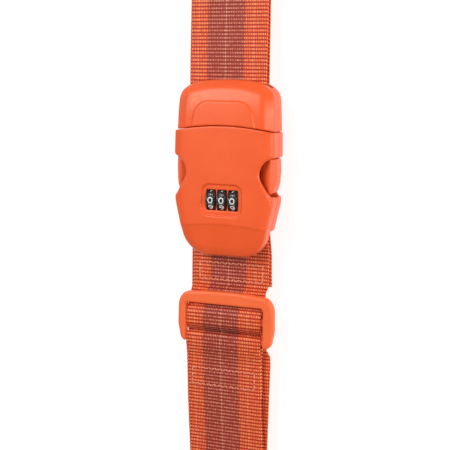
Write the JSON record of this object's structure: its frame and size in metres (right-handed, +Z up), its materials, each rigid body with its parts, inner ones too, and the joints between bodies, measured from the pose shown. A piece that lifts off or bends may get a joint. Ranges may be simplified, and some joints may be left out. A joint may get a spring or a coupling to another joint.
{
  "type": "luggage strap",
  "caption": "Folded ribbed webbing strap with a three-dial combination side-release buckle and a three-bar slider.",
  "frame": {"origin": "bottom centre of the folded strap, on the surface that it lies on", "axes": "+Z up out of the face with the dials, +Y along the strap towards the plug end, X across the webbing"},
  "size_m": [0.0658, 0.31, 0.0286],
  "materials": {
    "buckle_plastic": "satin moulded orange plastic",
    "webbing": "ribbed orange webbing with a darker brownish band",
    "thread": "orange polyester thread",
    "dial_plastic": "black moulded plastic with white digits",
    "steel": "plain pressed steel"
  },
  "bodies": {
    "strap_and_socket": {"socket_front_shell": "buckle_plastic", "socket_rear_shell": "buckle_plastic", "socket_web_bar": "steel", "socket_screws": "steel", "dial_frame": "steel", "dial_shaft": "steel", "detent_spring": "steel", "blocking_springs": "steel", "reset_spring": "steel", "slider": "buckle_plastic", "strap_adjuster": "webbing", "strap_main": "webbing", "stitches_socket_loop": "thread", "stitches_slider_loop": "thread"},
    "plug": {"plug_front_cover": "buckle_plastic", "plug_rear_cover": "buckle_plastic", "plug_web_bar": "steel", "plug_screws": "steel", "prong_base": "buckle_plastic", "strap_plug_end": "webbing", "stitches_plug_loop": "thread"},
    "left_arm": {"latch_arm_left": "buckle_plastic"},
    "right_arm": {"latch_arm_right": "buckle_plastic"},
    "block": {"blocking_slide": "steel"},
    "reset": {"reset_button": "steel"},
    "left_dial": {"dial_wheel_left": "dial_plastic", "dial_sleeve_left": "steel"},
    "middle_dial": {"dial_wheel_middle": "dial_plastic", "dial_sleeve_middle": "steel"},
    "right_dial": {"dial_wheel_right": "dial_plastic", "dial_sleeve_right": "steel"}
  },
  "joints": [
    {"name": "plug_slide", "type": "slide", "parent": "strap_and_socket", "child": "plug", "axis": [0, 1, 0], "range_m": [0, 0.046], "deforming": ["latch_arm_left", "latch_arm_right"]},
    {"name": "left_arm_press", "type": "hinge", "parent": "plug", "child": "left_arm", "pos_m": [-0.0256, 0.067, 0.015], "axis": [0, 0, 1], "range_deg": [0, 8], "stiffness_Nm_per_rad": 0.35},
    {"name": "right_arm_press", "type": "hinge", "parent": "plug", "child": "right_arm", "pos_m": [0.0256, 0.067, 0.015], "axis": [0, 0, 1], "range_deg": [-8, 0], "stiffness_Nm_per_rad": 0.35},
    {"name": "block_push", "type": "slide", "parent": "strap_and_socket", "child": "block", "axis": [0, -1, 0], "range_m": [0, 0.0018], "stiffness_N_per_m": 100, "deforming": ["blocking_springs"]},
    {"name": "reset_press", "type": "slide", "parent": "strap_and_socket", "child": "reset", "axis": [0, 0, 1], "range_m": [0, 0.0015], "stiffness_N_per_m": 400, "deforming": ["reset_spring"]},
    {"name": "left_dial_turn", "type": "hinge", "parent": "strap_and_socket", "child": "left_dial", "pos_m": [-0.0071, 0.0196, 0.0206], "axis": [1, 0, 0], "continuous": true},
    {"name": "middle_dial_turn", "type": "hinge", "parent": "strap_and_socket", "child": "middle_dial", "pos_m": [0, 0.0196, 0.0206], "axis": [1, 0, 0], "continuous": true},
    {"name": "right_dial_turn", "type": "hinge", "parent": "strap_and_socket", "child": "right_dial", "pos_m": [0.0071, 0.0196, 0.0206], "axis": [1, 0, 0], "continuous": true}
  ],
  "couplings": [
    {"joint": "left_arm_press", "follows": "block_push", "rad_per_m": 77.57},
    {"joint": "right_arm_press", "follows": "block_push", "rad_per_m": -77.57}
  ]
}
